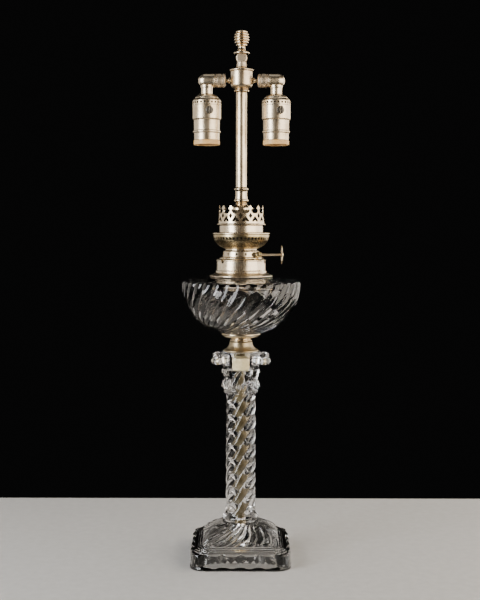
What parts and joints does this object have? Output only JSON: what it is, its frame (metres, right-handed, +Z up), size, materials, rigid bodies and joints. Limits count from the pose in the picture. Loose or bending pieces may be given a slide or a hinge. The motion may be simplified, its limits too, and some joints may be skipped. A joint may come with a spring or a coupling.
{
  "type": "table lamp",
  "caption": "Glass column oil lamp with square foot, swirled oil font and pierced burner, converted with a brass stem carrying hanging swivel bulb sockets under a shade rest and finial.",
  "frame": {"origin": "middle of the foot's underside, on the table plane", "axes": "+Z up the lamp's axis, +X to the right socket, -Y is the front with the switch keys"},
  "size_m": [0.1536, 0.1536, 0.687],
  "materials": {
    "clear_glass": "clear pressed crystal",
    "plated_brass": "worn pale plating, bright",
    "aged_brass": "darkened, satin",
    "cement": "matt",
    "liner_board": "varnished fibre board",
    "porcelain": "glazed",
    "bakelite": "dark brown, worn"
  },
  "bodies": {
    "stand": {"base_foot": "clear_glass", "base_washer": "plated_brass", "base_nut": "plated_brass", "tie_rod": "plated_brass", "column_shaft": "clear_glass", "capital": "clear_glass", "capital_cement": "cement", "connector_bell": "plated_brass", "connector_neck": "plated_brass", "font_cup": "plated_brass", "font_bowl": "clear_glass", "font_collar": "plated_brass"},
    "burner_unit": {"burner_base_ring": "plated_brass", "burner_neck": "plated_brass", "spindle_gland": "aged_brass", "burner_tube": "plated_brass", "air_basket": "aged_brass", "gallery_plate": "plated_brass", "burner_drum": "plated_brass", "crown_gallery": "plated_brass", "crown_floor": "aged_brass", "reducer_cap": "plated_brass", "stem_nipple": "aged_brass", "stem_coupler": "plated_brass", "stem_tube": "plated_brass", "cluster_neck_ring": "plated_brass", "cluster_body": "plated_brass", "cluster_cap": "plated_brass", "arm_nipple_left": "plated_brass", "arm_nipple_right": "plated_brass", "arm_coupling_left": "aged_brass", "arm_coupling_right": "aged_brass", "knuckle_base": "plated_brass"},
    "wick_raiser": {"wick_spindle": "aged_brass", "wick_thumbwheel": "plated_brass", "wick_sprocket_1": "aged_brass", "wick_sprocket_2": "aged_brass"},
    "knuckle_screw": {"knuckle_pin": "aged_brass"},
    "shade_tilter": {"shade_rest": "plated_brass", "finial_stud": "aged_brass"},
    "finial_knob": {"finial": "plated_brass"},
    "socket_left": {"elbow_left": "plated_brass", "socket_cap_left": "plated_brass", "socket_shell_left": "plated_brass", "socket_liner_left": "liner_board", "screw_shell_left": "plated_brass", "socket_core_left": "porcelain", "center_contact_left": "plated_brass"},
    "switch_left": {"switch_key_left": "bakelite"},
    "socket_right": {"elbow_right": "plated_brass", "socket_cap_right": "plated_brass", "socket_shell_right": "plated_brass", "socket_liner_right": "liner_board", "screw_shell_right": "plated_brass", "socket_core_right": "porcelain", "center_contact_right": "plated_brass"},
    "switch_right": {"switch_key_right": "bakelite"}
  },
  "joints": [
    {"name": "bayonet_twist", "type": "hinge", "parent": "stand", "child": "burner_unit", "pos_m": [0, 0, 0.3906], "axis": [0, 0, 1], "range_deg": [0, 20]},
    {"name": "wick_raise", "type": "hinge", "parent": "burner_unit", "child": "wick_raiser", "pos_m": [0.02, -0.0165, 0.3998], "axis": [1, 0, 0], "continuous": true},
    {"name": "shade_tilt", "type": "hinge", "parent": "burner_unit", "child": "shade_tilter", "pos_m": [0, 0, 0.6519], "axis": [0, 1, 0], "range_deg": [-70, 70]},
    {"name": "finial_turn", "type": "hinge", "parent": "shade_tilter", "child": "finial_knob", "pos_m": [0, 0, 0.67], "axis": [0, 0, 1], "continuous": true},
    {"name": "knuckle_screw_turn", "type": "hinge", "parent": "burner_unit", "child": "knuckle_screw", "pos_m": [0, 0, 0.6519], "axis": [0, 1, 0], "continuous": true},
    {"name": "socket_swivel_left", "type": "hinge", "parent": "burner_unit", "child": "socket_left", "pos_m": [-0.034, 0, 0.6231], "axis": [1, 0, 0], "range_deg": [-120, 120]},
    {"name": "switch_turn_left", "type": "hinge", "parent": "socket_left", "child": "switch_left", "pos_m": [-0.0447, 0, 0.5838], "axis": [0.1908, -0.9816, 0], "continuous": true},
    {"name": "socket_swivel_right", "type": "hinge", "parent": "burner_unit", "child": "socket_right", "pos_m": [0.034, 0, 0.6231], "axis": [1, 0, 0], "range_deg": [-120, 120]},
    {"name": "switch_turn_right", "type": "hinge", "parent": "socket_right", "child": "switch_right", "pos_m": [0.0447, 0, 0.5838], "axis": [0.225, -0.9744, 0], "continuous": true}
  ]
}
